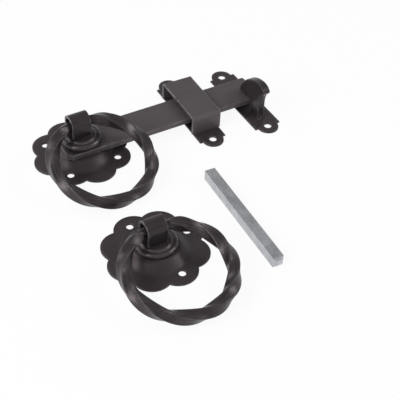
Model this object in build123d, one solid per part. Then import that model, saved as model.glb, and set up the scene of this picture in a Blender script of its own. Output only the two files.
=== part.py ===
from build123d import *
from math import cos, pi, radians, sin, tan, atan2
import os

os.makedirs("parts", exist_ok=True)

# Twisted ring gate latch set, laid out flat as its fitting kit is shown.
# Frame: z is out of the gate face, x runs along the latch bar, y is up the gate.
# The origin is on the gate face under the inner handle's spindle.

# Roses: pressed scalloped plates with a dished middle
ROSE_LOBES = 8
LOBE_RING_R = 23.25
LOBE_R = 14.3
ROSE_FIELD_R = 30.0
ROSE_SHEET = 1.1
ROSE_TOP = 6.8
DISH_TOP_R = 16.5
DISH_FOOT_R = 24.0
DISH_TOP_BEND = 6.0
DISH_FOOT_BEND = 5.0
SCREW_RING_R = 28.0
SCREWS_PER_ROSE = 4
SCREW_HOLE_R = 2.6
INNER_ROSE_TURN = 49.4
OUTER_ROSE_TURN = 11.5
OUTER_X = 1.5
OUTER_Y = -115.6

# Hubs: turned bush in the rose, square neck above it, square socket from the back
HUB_R = 8.5
HUB_RUN = 0.08
HUB_FLANGE_R = 11.5
HUB_FLANGE = 2.4
STACK_GAP = 0.4
NECK_SIDE = 11.6
NECK_FIT = 0.02
NECK_SINK = 0.4
SOCKET_CAP = 1.6

# Latch bar
BAR_WIDTH = 27.5
BAR_THICK = 4.0
BAR_BACK = 16.0
BAR_REACH = 149.5
BAR_CORNER = 4.0
BAR_TIP_R = 2.0
BAR_EDGE = 0.5

# Collars, spacer and the folded strap eyes
SPACER_R = 12.4
SPACER_THICK = 2.8
SPACER_BORE_R = 8.4
COLLAR_R = 15.3
COLLAR_THICK = 3.2
COLLAR_SHOULDER = 1.8
PAD_R = 11.2
PAD_THICK = 1.0
PAD_EDGE = 0.7
EYE_WIDTH = 14.8
EYE_STRAP = 1.9
EYE_BORE_R = 5.3
EYE_SIDE = -0.7
EYE_BACK = 1.8
EYE_RISE = 9.4

# Twisted ring handles
RING_R = 35.9
RING_BAR = 7.75
RING_CORNER = 0.7
RING_NECK = 6.0
RING_NECK_CORNER = 2.8
RING_NECK_HALF = 15.0
RING_BLEND = 9.0
QUARTER_STEPS = 10
INNER_RING_TURNS = 1.78
INNER_RING_PHASE = 31.3
INNER_RING_TILT = 17.8
INNER_RING_YAW = 5.5
OUTER_RING_TURNS = 2.0
OUTER_RING_PHASE = 59.0
OUTER_RING_TILT = 11.0
OUTER_RING_YAW = 0.2
OUTER_RING_DROP = 0.65
OUTER_RING_LIFT = 0.7

# Long plates under the keep and the catch
PLATE_WIDTH = 22.0
KEEP_SHOULDERS = 73.3
KEEP_HOLE_SPAN = 73.6
CATCH_SHOULDERS = 70.1
CATCH_HOLE_SPAN = 70.5
PLATE_END_R = 8.3
PLATE_HOLE_R = 2.9
PLATE_THICK = 1.2

# Keep bridge
KEEP_BACK = 53.5
KEEP_Y = 4.3
KEEP_TURN = -1.2
BRIDGE_SHIFT = -0.4
BRIDGE_SPAN = 51.2
BRIDGE_TOP = 16.6
BRIDGE_SHEET = 1.8
BRIDGE_WIDTH = 24.0
BRIDGE_BEND = 3.0
TENON_WIDTH = 12.0

# Catch hook: a forged profile seen along the bar, measured from its throat and the roof of its mouth
CATCH_BACK = 7.9
CATCH_Y = -2.7
HOOK_THICK = 6.0
HOOK_EDGE = 0.8
HOOK_THROAT_GAP = 2.75
HOOK_ROOF_GAP = 0.5
HOOK_NECK = 10.5
HOOK_NOSE = 17.3
HOOK_LIP = 1.8
HOOK_BROW_R = 27.5
HOOK_HEAD_RISE = 21.5
HOOK_HEAD_SET = 3.4
HOOK_POLL_RISE = 17.0
HOOK_POLL_OUT = 6.0
HOOK_POLL_R = 2.0
HOOK_NAPE_RISE = 5.2
HOOK_MOUTH_R = 2.0
HOOK_FOOT_OUT = 1.3
HOOK_HEEL_RISE = 6.8
HOOK_TOE_RISE = 5.2
HOOK_TENON_WIDTH = 8.0
HOOK_TENON_THICK = 4.0

# Spindle
SPINDLE_SIDE = 8.0
SPINDLE_LENGTH = 100.8
SPINDLE_X = 69.5
SPINDLE_Y = -116.9
SPINDLE_TURN = -2.0
SPINDLE_BEVEL = 1.7
SOCKET_ROOM = 0.15

# Heights worked out from the sizes above
DISH_ROOF = ROSE_TOP - ROSE_SHEET
BAR_BOTTOM = ROSE_TOP + STACK_GAP
BAR_TOP = BAR_BOTTOM + BAR_THICK
INNER_COLLAR_BOTTOM = BAR_TOP + SPACER_THICK
OUTER_COLLAR_BOTTOM = ROSE_TOP + STACK_GAP
HUB_FLANGE_BOTTOM = DISH_ROOF - STACK_GAP - HUB_FLANGE

# Places along and across the bar worked out from the sizes above
KEEP_X = BAR_REACH - KEEP_BACK
CATCH_X = BAR_REACH - CATCH_BACK
HOOK_ROOF = BAR_TOP + HOOK_ROOF_GAP
HOOK_THROAT_Y = -BAR_WIDTH / 2 - HOOK_THROAT_GAP
HOOK_SPINE_Y = HOOK_THROAT_Y - HOOK_NECK


def nearest_corner(face, x, y):
    return face.vertices().sort_by_distance((x, y, 0))[0]


def dish_profile():
    # half section of the pressed sheet, radius along x and height along y
    lean = atan2(ROSE_TOP - ROSE_SHEET, DISH_FOOT_R - DISH_TOP_R)
    back = ROSE_SHEET * tan(lean / 2)
    rim = LOBE_RING_R + LOBE_R + ROSE_SHEET
    bore = HUB_R + HUB_RUN
    points = [
        (bore, DISH_ROOF),
        (bore, ROSE_TOP),
        (DISH_TOP_R, ROSE_TOP),
        (DISH_FOOT_R, ROSE_SHEET),
        (rim, ROSE_SHEET),
        (rim, 0),
        (DISH_FOOT_R - back, 0),
        (DISH_TOP_R - back, DISH_ROOF),
    ]
    face = make_face(Polyline(*points, close=True))
    face = fillet(nearest_corner(face, DISH_TOP_R, ROSE_TOP), DISH_TOP_BEND)
    face = fillet(nearest_corner(face, DISH_TOP_R - back, DISH_ROOF), DISH_TOP_BEND - ROSE_SHEET)
    face = fillet(nearest_corner(face, DISH_FOOT_R, ROSE_SHEET), DISH_FOOT_BEND)
    return fillet(nearest_corner(face, DISH_FOOT_R - back, 0), DISH_FOOT_BEND + ROSE_SHEET)


def rose(turn):
    # scalloped outline: one round lobe every 45 degrees, a screw hole in every second one
    outline = Circle(ROSE_FIELD_R)
    outline += PolarLocations(LOBE_RING_R, ROSE_LOBES) * Circle(LOBE_R)
    plate = revolve(Plane.XZ * dish_profile(), Axis.Z)
    plate &= extrude(outline, ROSE_TOP)
    plate -= PolarLocations(SCREW_RING_R, SCREWS_PER_ROSE) * Cylinder(SCREW_HOLE_R, ROSE_TOP)
    return Rot(0, 0, turn) * plate


def square_prism(side, bottom, top):
    return Pos(0, 0, bottom) * extrude(Rectangle(side, side), top - bottom)


def hub(top):
    # bush and back flange turned in one, square neck to take the parts that turn with it
    neck_top = top - NECK_SINK
    body = Pos(0, 0, HUB_FLANGE_BOTTOM) * extrude(Circle(HUB_FLANGE_R), HUB_FLANGE)
    body += Pos(0, 0, HUB_FLANGE_BOTTOM) * extrude(Circle(HUB_R), BAR_BOTTOM - HUB_FLANGE_BOTTOM)
    body += square_prism(NECK_SIDE, BAR_BOTTOM, neck_top)
    socket = SPINDLE_SIDE + 2 * SOCKET_ROOM
    return body - square_prism(socket, HUB_FLANGE_BOTTOM, neck_top - SOCKET_CAP)


def latch_bar():
    length = BAR_BACK + BAR_REACH
    middle = (BAR_REACH - BAR_BACK) / 2
    outline = Pos(middle, 0) * Rectangle(length, BAR_WIDTH)
    ends = outline.vertices().group_by(Axis.X)[0]
    outline = chamfer(ends, BAR_CORNER)
    outline = fillet(outline.vertices().group_by(Axis.X)[-1], BAR_TIP_R)
    bar = Pos(0, 0, BAR_BOTTOM) * extrude(outline, BAR_THICK)
    bar = chamfer(bar.faces().sort_by(Axis.Z)[-1].edges(), BAR_EDGE)
    return bar - square_prism(NECK_SIDE + 2 * NECK_FIT, BAR_BOTTOM, BAR_TOP)


def spacer():
    ring = Circle(SPACER_R) - Circle(SPACER_BORE_R)
    return Pos(0, 0, BAR_TOP) * extrude(ring, SPACER_THICK)


def collar(bottom):
    disc = extrude(Circle(COLLAR_R), COLLAR_THICK)
    disc = fillet(disc.faces().sort_by(Axis.Z)[-1].edges(), COLLAR_SHOULDER)
    pad = extrude(Circle(PAD_R), PAD_THICK)
    pad = fillet(pad.faces().sort_by(Axis.Z)[-1].edges(), PAD_EDGE)
    disc += Pos(0, 0, COLLAR_THICK) * pad
    disc -= square_prism(NECK_SIDE + 2 * NECK_FIT, 0, COLLAR_THICK + PAD_THICK)
    return Pos(0, 0, bottom) * disc


def eye_place(foot):
    # the ring's axle runs along x here, above the spindle
    return Pos(EYE_SIDE, EYE_BACK, foot + EYE_RISE)


def strap_eye(foot):
    # flat strap folded over the ring, both legs down to the collar
    outer_r = EYE_BORE_R + EYE_STRAP
    outline = Circle(outer_r) + Pos(0, -EYE_RISE / 2) * Rectangle(2 * outer_r, EYE_RISE)
    opening = Circle(EYE_BORE_R) + Pos(0, -EYE_RISE / 2) * Rectangle(2 * EYE_BORE_R, EYE_RISE)
    strap = extrude(Plane.YZ * (outline - opening), EYE_WIDTH / 2, both=True)
    return eye_place(foot) * strap


def ring_section(angle, turns, phase):
    # angle is counted round the ring from the eye; the bar is round in the eye and square past it
    away = min(angle, 360 - angle)
    share = min(max((away - RING_NECK_HALF) / RING_BLEND, 0), 1)
    side = RING_NECK + share * (RING_BAR - RING_NECK)
    corner = RING_NECK_CORNER + share * (RING_CORNER - RING_NECK_CORNER)
    twisted = (angle - RING_NECK_HALF) / (360 - 2 * RING_NECK_HALF)
    turn = phase + 360 * turns * min(max(twisted, 0), 1)
    a = radians(angle)
    t = radians(turn)
    outward = Vector(sin(a), cos(a), 0)
    along = Vector(cos(a), -sin(a), 0)
    x_dir = outward * cos(t) + Vector(0, 0, 1) * sin(t)
    origin = outward * RING_R - Vector(0, RING_R, 0)
    return Plane(origin=origin, x_dir=x_dir, z_dir=along) * RectangleRounded(side, side, corner)


def ring(turns, phase):
    # four lofted quarters, each with its own row of sections
    body = Part()
    for quarter in range(4):
        angles = [90 * (quarter + k / QUARTER_STEPS) for k in range(QUARTER_STEPS + 1)]
        body += loft([ring_section(angle, turns, phase) for angle in angles])
    return body


def hang(body, tilt, yaw, foot):
    # the ring leans from its eye towards the gate, a little skewed in the loose bore
    return eye_place(foot) * Rot(0, 0, yaw) * Rot(tilt, 0, 0) * body


def long_plate(shoulders, hole_span):
    # straight plate with a round screw lug at each end
    outline = Rectangle(PLATE_WIDTH, shoulders)
    outline += GridLocations(0, hole_span, 1, 2) * Circle(PLATE_END_R)
    outline -= GridLocations(0, hole_span, 1, 2) * Circle(PLATE_HOLE_R)
    return extrude(outline, PLATE_THICK)


def keep_place():
    return Pos(KEEP_X, KEEP_Y, 0) * Rot(0, 0, KEEP_TURN)


def bridge_slots():
    # one slot under each leg of the bridge
    reach = BRIDGE_SPAN - BRIDGE_SHEET
    pair = Sketch() + GridLocations(0, reach, 1, 2) * Rectangle(TENON_WIDTH, BRIDGE_SHEET)
    return Pos(0, BRIDGE_SHIFT) * pair


def keep_plate():
    plate = long_plate(KEEP_SHOULDERS, KEEP_HOLE_SPAN) - extrude(bridge_slots(), PLATE_THICK)
    return keep_place() * plate


def keep_bridge():
    # flat strip folded twice, a tenon of each leg riveted into the plate
    rise = BRIDGE_TOP - PLATE_THICK
    outer = Pos(0, PLATE_THICK + rise / 2) * Rectangle(BRIDGE_SPAN, rise)
    outer = fillet(outer.vertices().group_by(Axis.Y)[-1], BRIDGE_BEND)
    inner = Rectangle(BRIDGE_SPAN - 2 * BRIDGE_SHEET, rise - BRIDGE_SHEET)
    inner = Pos(0, PLATE_THICK + (rise - BRIDGE_SHEET) / 2) * inner
    inner = fillet(inner.vertices().group_by(Axis.Y)[-1], BRIDGE_BEND - BRIDGE_SHEET)
    arch = extrude(Plane.YZ * (outer - inner), BRIDGE_WIDTH / 2, both=True)
    arch = Pos(0, BRIDGE_SHIFT, 0) * arch
    arch += extrude(bridge_slots(), PLATE_THICK)
    return keep_place() * arch


def hook_tenon():
    neck_middle = (HOOK_THROAT_Y + HOOK_SPINE_Y) / 2
    return Pos(CATCH_X, neck_middle) * Rectangle(HOOK_TENON_THICK, HOOK_TENON_WIDTH)


def catch_plate():
    plate = Pos(CATCH_X, CATCH_Y, 0) * long_plate(CATCH_SHOULDERS, CATCH_HOLE_SPAN)
    return plate - extrude(hook_tenon(), PLATE_THICK)


def hook_outline():
    # y up the gate, z out of it; the nose points up the gate over the bar
    nose_y = HOOK_THROAT_Y + HOOK_NOSE
    top = (HOOK_SPINE_Y + HOOK_HEAD_SET, HOOK_ROOF + HOOK_HEAD_RISE)
    poll = (HOOK_SPINE_Y - HOOK_POLL_OUT, HOOK_ROOF + HOOK_POLL_RISE)
    nape_end = (HOOK_SPINE_Y, HOOK_ROOF + HOOK_NAPE_RISE)
    nose = Line((nose_y, HOOK_ROOF), (nose_y, HOOK_ROOF + HOOK_LIP))
    brow = RadiusArc(nose @ 1, top, -HOOK_BROW_R)
    crown = TangentArc(top, poll, tangent=brow % 1)
    nape = TangentArc(nape_end, poll, tangent=(0, 1))
    spine = Line(nape_end, (HOOK_SPINE_Y, PLATE_THICK + HOOK_HEEL_RISE))
    heel = TangentArc(spine @ 1, (HOOK_SPINE_Y - HOOK_FOOT_OUT, PLATE_THICK), tangent=(0, -1))
    roof = Line(nose @ 0, (HOOK_THROAT_Y, HOOK_ROOF))
    throat = Line(roof @ 1, (HOOK_THROAT_Y, PLATE_THICK + HOOK_TOE_RISE))
    toe = TangentArc(throat @ 1, (HOOK_THROAT_Y + HOOK_FOOT_OUT, PLATE_THICK), tangent=(0, -1))
    sole = Line(toe @ 1, heel @ 1)
    face = make_face([nose, brow, crown, nape, spine, heel, sole, toe, throat, roof])
    face = fillet(nearest_corner(face, *poll), HOOK_POLL_R)
    return fillet(nearest_corner(face, HOOK_THROAT_Y, HOOK_ROOF), HOOK_MOUTH_R)


def catch_hook():
    body = extrude(Plane.YZ * hook_outline(), HOOK_THICK / 2, both=True)
    sides = body.faces().sort_by(Axis.X)
    rims = [sides[k].edges().sort_by(SortBy.LENGTH)[-1] for k in (0, -1)]
    body = Pos(CATCH_X, 0, 0) * fillet(rims, HOOK_EDGE)
    return body + extrude(hook_tenon(), PLATE_THICK)


def spindle():
    bar = Box(SPINDLE_SIDE, SPINDLE_LENGTH, SPINDLE_SIDE)
    ends = bar.faces().sort_by(Axis.Y)[0].edges() + bar.faces().sort_by(Axis.Y)[-1].edges()
    bar = chamfer(ends, SPINDLE_BEVEL)
    return Pos(SPINDLE_X, SPINDLE_Y, SPINDLE_SIDE / 2) * Rot(0, 0, SPINDLE_TURN) * bar


inner_top = INNER_COLLAR_BOTTOM + COLLAR_THICK + PAD_THICK
outer_top = OUTER_COLLAR_BOTTOM + COLLAR_THICK + PAD_THICK
inner_twist = ring(INNER_RING_TURNS, INNER_RING_PHASE)
outer_twist = ring(OUTER_RING_TURNS, OUTER_RING_PHASE)
# the outer ring bears on the strap of its eye
outer_hung = hang(outer_twist, OUTER_RING_TILT, OUTER_RING_YAW, outer_top)
outer_place = Pos(OUTER_X, OUTER_Y, 0)

parts = {
    "inner_rose": rose(INNER_ROSE_TURN),
    "inner_hub": hub(inner_top),
    "latch_bar": latch_bar(),
    "inner_spacer": spacer(),
    "inner_collar": collar(INNER_COLLAR_BOTTOM),
    "inner_eye": strap_eye(inner_top),
    "inner_ring": hang(inner_twist, INNER_RING_TILT, INNER_RING_YAW, inner_top),
    "keep_plate": keep_plate(),
    "keep_bridge": keep_bridge(),
    "catch_plate": catch_plate(),
    "catch_hook": catch_hook(),
    "outer_rose": outer_place * rose(OUTER_ROSE_TURN),
    "outer_hub": outer_place * hub(outer_top),
    "outer_collar": outer_place * collar(OUTER_COLLAR_BOTTOM),
    "outer_eye": outer_place * strap_eye(outer_top),
    "outer_ring": outer_place * Pos(0, -OUTER_RING_DROP, OUTER_RING_LIFT) * outer_hung,
    "spindle": spindle(),
}

for name, shape in parts.items():
    export_step(shape, f"parts/{name}.step")
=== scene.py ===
import math

import bpy
from mathutils import Matrix, Vector

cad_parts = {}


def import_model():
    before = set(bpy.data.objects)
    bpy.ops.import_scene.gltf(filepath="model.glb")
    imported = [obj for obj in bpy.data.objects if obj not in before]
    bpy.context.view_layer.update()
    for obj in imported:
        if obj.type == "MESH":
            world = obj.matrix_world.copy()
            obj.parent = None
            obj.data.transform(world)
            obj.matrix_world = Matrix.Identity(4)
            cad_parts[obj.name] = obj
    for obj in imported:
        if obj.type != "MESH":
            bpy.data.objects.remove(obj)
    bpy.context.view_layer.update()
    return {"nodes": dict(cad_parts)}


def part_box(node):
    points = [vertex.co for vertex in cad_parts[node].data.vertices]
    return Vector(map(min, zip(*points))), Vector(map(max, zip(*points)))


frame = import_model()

MM = 0.001

# Photograph's camera, in the row frame: millimetres and degrees
CAMERA_AT = (-219.4, -522.3, 484.4)
LENS_MM = 88.78
SENSOR_MM = 36.0
CAMERA_AZIMUTH = -32.0
CAMERA_ELEVATION = 43.283
CAMERA_ROLL = 3.27

# The rest is in Blender's metres
CLIP_START = 0.01
CLIP_END = 20.0

# Lamps: where each stands, its two sides and its power in watts
LAMPS = {
    "left": dict(place=(-1.065, -0.277, 0.823), sides=(0.8, 0.7), power=12.0),
    "right": dict(place=(1.087, -0.457, 0.862), sides=(0.5, 0.5), power=5.0),
    "back": dict(place=(-0.518, 0.731, 0.99), sides=(0.5, 0.5), power=3.0),
}
LAMPS_LOOK_AT = (0.05, -0.08, 0.0)

# Sky: white up to one height of a direction's unit vector, grey overhead from another
SKY_WHITE_TO = 0.10
SKY_GREY_FROM = 0.30
SKY_GREY = 0.42

# Table: half its side, its drop below the parts, its colour and the share of its shading that shows
TABLE_HALF = 3.0
TABLE_DROP = 0.0001
TABLE_COLOUR = (0.86, 0.86, 0.86)
TABLE_SHADING = 0.08

# Black paint: colour of the coat and of worn edges with a painted highlight, roughness, strength of
# orange peel, of forged waviness and of edge wear with that painted highlight, specular level, and the
# radius over which bends and edges are eased
SHEET_PAINT = dict(
    colour=(0.0305, 0.0240, 0.0257), worn_and_glint=(0.17, 0.16, 0.16), rough=0.38, peel=0.10,
    forged=0.03, wear_and_glint=0.7, sheen=0.45, soften=0.003,
)
BAR_PAINT = dict(
    colour=(0.043, 0.0365, 0.0385), worn_and_glint=(0.34, 0.325, 0.33), rough=0.60, peel=0.12,
    forged=0.03, wear_and_glint=1.0, sheen=1.0, soften=0.0006,
)
COLLAR_PAINT = dict(
    colour=(0.028, 0.0225, 0.0250), worn_and_glint=(0.30, 0.28, 0.29), rough=0.27, peel=0.12,
    forged=0.18, wear_and_glint=0.5, sheen=0.85, soften=0.0022,
)
FORGED_PAINT = dict(
    colour=(0.0185, 0.0148, 0.0168), worn_and_glint=(0.36, 0.34, 0.35), rough=0.32, peel=0.16,
    forged=0.40, wear_and_glint=0.9, sheen=0.50, soften=0.0008,
)
RING_PAINT = dict(FORGED_PAINT, forged=0.20, sheen=0.52)
PAINT_TINT = (1.0, 0.90, 0.95, 1.0)

# How far the sheen's noise takes roughness under and over its value
SMOOTHER = 0.06
DULLER = 0.08

# Worn edges with a painted highlight: the rounding that finds them, and the cosines of its lean at which
# wear and painted highlight start and are full
EDGE_ROUNDING = 0.0010
WEAR_AND_GLINT_STARTS = 0.99
WEAR_AND_GLINT_IS_FULL = 0.80

# Rings: degrees by which they lean out of the table plane, and the radius of the circle on which the
# noise of their streaks is read, small so that streaks run long
RING_TILTS = {"inner_ring": -17.8, "outer_ring": -11.0}
STREAK_CIRCLE = 0.0028
STREAK_BUMP = 0.42

# Zinc plate: colour of dark and bright grain, share of clouds in it, and drawing lines made from noise
# that is squeezed along y and turned by a few degrees
ZINC_DARK = (0.37, 0.385, 0.405)
ZINC_BRIGHT = (0.65, 0.66, 0.685)
ZINC_CLOUD_SHARE = 0.35
ZINC_SMOOTHEST = 0.34
ZINC_DULLEST = 0.54
GRAIN_BUMP = 0.5
LINES_BUMP = 0.25
LINES_SQUEEZE = 0.03
LINES_TURN = 2.0

# Noise fields, with scales for metres
COAT_MOTTLE = dict(scale=70.0, detail=3.0, rough=0.5)
COAT_SHEEN = dict(scale=110.0, detail=4.0, rough=0.6)
EDGE_WEAR_AND_GLINT_PATCHES = dict(scale=260.0, detail=5.0, rough=0.65)
HAMMER_MARKS = dict(scale=150.0, detail=2.0, rough=0.45)
ORANGE_PEEL = dict(scale=1100.0, detail=3.0, rough=0.5)
STREAKS = dict(scale=1000.0, detail=3.0, rough=0.5)
ZINC_LINES = dict(scale=1500.0, detail=3.0, rough=0.6)
ZINC_GRAIN = dict(scale=1300.0, detail=4.0, rough=0.75)
ZINC_CLOUD = dict(scale=90.0, detail=3.0, rough=0.55)
TABLE_CLOUD = dict(scale=3.0, detail=2.0, rough=0.55)

# Parts of a noise's values that are spread over a whole range of colour, wear or gloss
USUAL_SPAN = (0.3, 0.7)
STREAK_SPAN = (0.40, 0.72)
WEAR_AND_GLINT_SPAN = (0.34, 0.56)
ZINC_SPAN = (0.38, 0.62)

# Depths of the bumps
HAMMER_DEPTH = 0.0012
STREAK_DEPTH = 0.0005
PEEL_DEPTH = 0.0003
ZINC_DEPTH = 0.0002


def camera():
    data = bpy.data.cameras.new("photo_camera")
    data.lens = LENS_MM
    data.sensor_width = SENSOR_MM
    data.clip_start = CLIP_START
    data.clip_end = CLIP_END
    obj = bpy.data.objects.new("photo_camera", data)
    bpy.context.scene.collection.objects.link(obj)
    azimuth = math.radians(CAMERA_AZIMUTH)
    tilt = math.radians(90.0 - CAMERA_ELEVATION)
    turn = Matrix.Rotation(azimuth, 4, "Z") @ Matrix.Rotation(tilt, 4, "X")
    turn = turn @ Matrix.Rotation(math.radians(CAMERA_ROLL), 4, "Z")
    obj.matrix_world = Matrix.Translation(Vector(CAMERA_AT) * MM) @ turn
    bpy.context.scene.camera = obj


def node(tree, kind, inputs, **settings):
    # each input takes a constant or another node's output
    made = tree.nodes.new(kind)
    for name, value in settings.items():
        setattr(made, name, value)
    for key, value in inputs.items():
        if isinstance(value, bpy.types.NodeSocket):
            tree.links.new(value, made.inputs[key])
        else:
            made.inputs[key].default_value = value
    return made


def maths(tree, operation, *values):
    return node(tree, "ShaderNodeMath", dict(enumerate(values)), operation=operation).outputs["Value"]


def vectors(tree, operation, *values):
    made = node(tree, "ShaderNodeVectorMath", dict(enumerate(values)), operation=operation)
    gives_number = operation in ("DOT_PRODUCT", "LENGTH")
    return made.outputs["Value" if gives_number else "Vector"]


def split(tree, vector):
    return node(tree, "ShaderNodeSeparateXYZ", {"Vector": vector}).outputs


def noise(tree, coords, scale, detail, rough, fourth=None):
    inputs = {"Vector": coords, "Scale": scale, "Detail": detail, "Roughness": rough}
    dimensions = "3D"
    if fourth is not None:
        inputs["W"] = fourth
        dimensions = "4D"
    return node(tree, "ShaderNodeTexNoise", inputs, noise_dimensions=dimensions).outputs["Fac"]


def mapped(tree, source, from_min, from_max, to_min=0.0, to_max=1.0):
    ends = {"From Min": from_min, "From Max": from_max, "To Min": to_min, "To Max": to_max}
    return node(tree, "ShaderNodeMapRange", {"Value": source, **ends}).outputs["Result"]


def ramp(tree, source, span, low_colour, high_colour):
    made = node(tree, "ShaderNodeValToRGB", {"Fac": source})
    for element, position, colour in zip(made.color_ramp.elements, span, (low_colour, high_colour)):
        element.position = position
        element.color = (*colour, 1.0)
    return made.outputs["Color"]


def tones(tree, source, span, colour, darkest, lightest):
    dark = [c * darkest for c in colour]
    light = [c * lightest for c in colour]
    return ramp(tree, source, span, dark, light)


def bumped(tree, height, strength, depth, under=None):
    inputs = {"Height": height, "Strength": strength, "Distance": depth}
    if under is not None:
        inputs["Normal"] = under
    return node(tree, "ShaderNodeBump", inputs).outputs["Normal"]


def rounded(tree, radius):
    return node(tree, "ShaderNodeBevel", {"Radius": radius}, samples=6).outputs["Normal"]


def edges(tree):
    # how far the rounded normal leans away from the face's own: 0 on faces, 1 on sharp edges
    own = node(tree, "ShaderNodeNewGeometry", {}).outputs["Normal"]
    cosine = vectors(tree, "DOT_PRODUCT", rounded(tree, EDGE_ROUNDING), own)
    return mapped(tree, cosine, WEAR_AND_GLINT_STARTS, WEAR_AND_GLINT_IS_FULL)


def along_ring(tree, coords, centre, tilt):
    # noise drawn out round a ring's centre line, as rolled bar is drawn out
    turned = {"Vector": coords, "Center": centre, "Angle": math.radians(tilt)}
    level = node(tree, "ShaderNodeVectorRotate", turned, rotation_type="X_AXIS").outputs["Vector"]
    local = vectors(tree, "SUBTRACT", level, centre)
    flat = vectors(tree, "MULTIPLY", local, (1.0, 1.0, 0.0))
    heading = split(tree, vectors(tree, "NORMALIZE", flat))
    place = {axis: maths(tree, "MULTIPLY", heading[axis], STREAK_CIRCLE) for axis in "XY"}
    place["Z"] = vectors(tree, "LENGTH", flat)
    joined = node(tree, "ShaderNodeCombineXYZ", place).outputs["Vector"]
    return noise(tree, joined, **STREAKS, fourth=split(tree, local)["Z"])


def new_material(name):
    made = bpy.data.materials.new(name)
    made.use_nodes = True
    tree = made.node_tree
    shader = tree.nodes["Principled BSDF"]
    coords = node(tree, "ShaderNodeTexCoord", {}).outputs["Object"]
    return made, tree, shader, coords


def black_paint(name, colour, worn_and_glint, rough, peel, forged, wear_and_glint, sheen, soften, ring=None):
    # satin black coat on steel: faint orange peel, uneven sheen, hand-forged waviness, rubbed edges that
    # also carry a painted highlight; a ring's centre and tilt are given so that its uneven sheen is
    # drawn out along the bar
    made, tree, shader, coords = new_material(name)
    if ring is None:
        uneven = noise(tree, coords, **COAT_SHEEN)
        soft = noise(tree, coords, **COAT_MOTTLE)
        mottled = tones(tree, soft, USUAL_SPAN, colour, darkest=0.9, lightest=1.12)
    else:
        uneven = along_ring(tree, coords, *ring)
        mottled = tones(tree, uneven, STREAK_SPAN, colour, darkest=0.85, lightest=1.75)
    patchy = mapped(tree, noise(tree, coords, **EDGE_WEAR_AND_GLINT_PATCHES), *WEAR_AND_GLINT_SPAN)
    # edges painted lighter: wear, together with a painted highlight along the edges
    wear_and_glint_mask = maths(tree, "MULTIPLY", edges(tree), patchy)
    wear_and_glint_mask = maths(tree, "MULTIPLY", wear_and_glint_mask, wear_and_glint)
    mixed = {"Factor": wear_and_glint_mask, "A": mottled, "B": (*worn_and_glint, 1.0)}
    coat = node(tree, "ShaderNodeMix", mixed, data_type="RGBA").outputs["Result"]
    gloss = mapped(tree, uneven, *USUAL_SPAN, to_min=rough - SMOOTHER, to_max=rough + DULLER)
    eased = rounded(tree, soften)
    normal = bumped(tree, noise(tree, coords, **HAMMER_MARKS), forged, HAMMER_DEPTH, under=eased)
    if ring is not None:
        normal = bumped(tree, uneven, STREAK_BUMP, STREAK_DEPTH, under=normal)
    normal = bumped(tree, noise(tree, coords, **ORANGE_PEEL), peel, PEEL_DEPTH, under=normal)
    tree.links.new(coat, shader.inputs["Base Color"])
    tree.links.new(gloss, shader.inputs["Roughness"])
    tree.links.new(normal, shader.inputs["Normal"])
    shader.inputs["Specular IOR Level"].default_value = sheen
    shader.inputs["Specular Tint"].default_value = PAINT_TINT
    return made


def zinc_plate():
    # square steel bar under matt zinc: fine bright grain, cloudy tone and faint drawing lines
    made, tree, shader, coords = new_material("zinc_plate")
    turn = (0.0, 0.0, math.radians(LINES_TURN))
    drawn = {"Vector": coords, "Rotation": turn, "Scale": (1.0, LINES_SQUEEZE, 1.0)}
    lines = noise(tree, node(tree, "ShaderNodeMapping", drawn).outputs["Vector"], **ZINC_LINES)
    grain = noise(tree, coords, **ZINC_GRAIN)
    mixed = {"Factor": ZINC_CLOUD_SHARE, "A": grain, "B": noise(tree, coords, **ZINC_CLOUD)}
    tone = node(tree, "ShaderNodeMix", mixed, data_type="FLOAT").outputs["Result"]
    colour = ramp(tree, tone, ZINC_SPAN, ZINC_DARK, ZINC_BRIGHT)
    gloss = mapped(tree, grain, *USUAL_SPAN, to_min=ZINC_SMOOTHEST, to_max=ZINC_DULLEST)
    normal = bumped(tree, lines, LINES_BUMP, ZINC_DEPTH)
    normal = bumped(tree, grain, GRAIN_BUMP, ZINC_DEPTH, under=normal)
    tree.links.new(colour, shader.inputs["Base Color"])
    tree.links.new(gloss, shader.inputs["Roughness"])
    tree.links.new(normal, shader.inputs["Normal"])
    shader.inputs["Metallic"].default_value = 1.0
    return made


def white_table():
    # near white where it is seen directly, in a reflection or through glass, with its shade faintly kept
    made, tree, shader, coords = new_material("white_table")
    cloud = noise(tree, coords, **TABLE_CLOUD)
    tint = tones(tree, cloud, USUAL_SPAN, TABLE_COLOUR, darkest=0.99, lightest=1.0)
    tree.links.new(tint, shader.inputs["Base Color"])
    shader.inputs["Roughness"].default_value = 0.85
    shader.inputs["Specular IOR Level"].default_value = 0.1
    rays = node(tree, "ShaderNodeLightPath", {}).outputs
    seen = maths(tree, "MAXIMUM", rays["Is Camera Ray"], rays["Is Glossy Ray"])
    seen = maths(tree, "MAXIMUM", seen, rays["Is Transmission Ray"])
    whitened = maths(tree, "MULTIPLY", seen, 1.0 - TABLE_SHADING)
    white = node(tree, "ShaderNodeEmission", {}).outputs["Emission"]
    mixed = {"Fac": whitened, 1: shader.outputs["BSDF"], 2: white}
    surface = node(tree, "ShaderNodeMixShader", mixed).outputs["Shader"]
    tree.links.new(surface, tree.nodes["Material Output"].inputs["Surface"])
    return made


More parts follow.
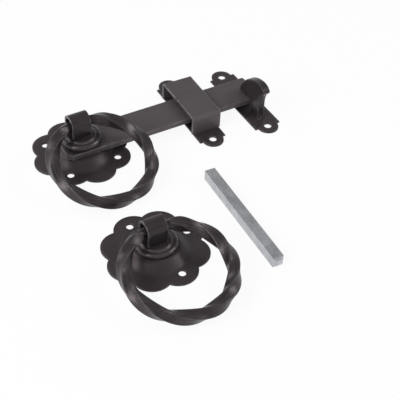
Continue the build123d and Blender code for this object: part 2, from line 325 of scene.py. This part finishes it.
def floor():
    mesh = bpy.data.meshes.new("floor")
    signs = ((-1, -1), (1, -1), (1, 1), (-1, 1))
    mesh.from_pydata([(x * TABLE_HALF, y * TABLE_HALF, 0) for x, y in signs], [], [(0, 1, 2, 3)])
    obj = bpy.data.objects.new("floor", mesh)
    bpy.context.scene.collection.objects.link(obj)
    obj.location.z = -TABLE_DROP
    mesh.materials.append(white_table())


def lamp(name, place, sides, power):
    data = bpy.data.lights.new(name, "AREA")
    data.shape = "RECTANGLE"
    data.size, data.size_y = sides
    data.energy = power
    obj = bpy.data.objects.new(name, data)
    bpy.context.scene.collection.objects.link(obj)
    away = Vector(place) - Vector(LAMPS_LOOK_AT)
    obj.location = place
    obj.rotation_euler = away.to_track_quat("Z", "Y").to_euler()


def world():
    # white below and all round the horizon, for every kind of ray, and a plain grey overhead
    made = bpy.data.worlds.new("studio")
    made.use_nodes = True
    tree = made.node_tree
    direction = node(tree, "ShaderNodeTexCoord", {}).outputs["Generated"]
    height = split(tree, direction)["Z"]
    strength = mapped(tree, height, SKY_WHITE_TO, SKY_GREY_FROM, to_min=1.0, to_max=SKY_GREY)
    background = tree.nodes["Background"]
    background.inputs["Color"].default_value = (1, 1, 1, 1)
    tree.links.new(strength, background.inputs["Strength"])
    bpy.context.scene.world = made


def paint_nodes():
    # a ring has its own finish, and every other node takes the one for the last word of its name
    sheet = black_paint("black_paint_sheet", **SHEET_PAINT)
    bar = black_paint("black_paint_bar", **BAR_PAINT)
    forged = black_paint("black_paint_forged", **FORGED_PAINT)
    collar = black_paint("black_paint_collar", **COLLAR_PAINT)
    finishes = {"rose": sheet, "plate": sheet, "bar": bar, "bridge": bar, "collar": collar}
    finishes.update(dict.fromkeys(("eye", "hook", "hub", "spacer"), forged))
    finishes["spindle"] = zinc_plate()
    for name, tilt in RING_TILTS.items():
        low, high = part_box(name)
        centre = [(a + b) / 2 for a, b in zip(low, high)]
        finishes[name] = black_paint(f"black_paint_{name}", **RING_PAINT, ring=(centre, tilt))
    for name, obj in frame["nodes"].items():
        last_word = name.split("_")[-1]
        for slot in obj.material_slots:
            slot.material = finishes[name] if name in RING_TILTS else finishes[last_word]


camera()
paint_nodes()
floor()
world()
for lamp_name, facts in LAMPS.items():
    lamp(lamp_name, **facts)

bpy.context.scene.view_settings.view_transform = "Standard"
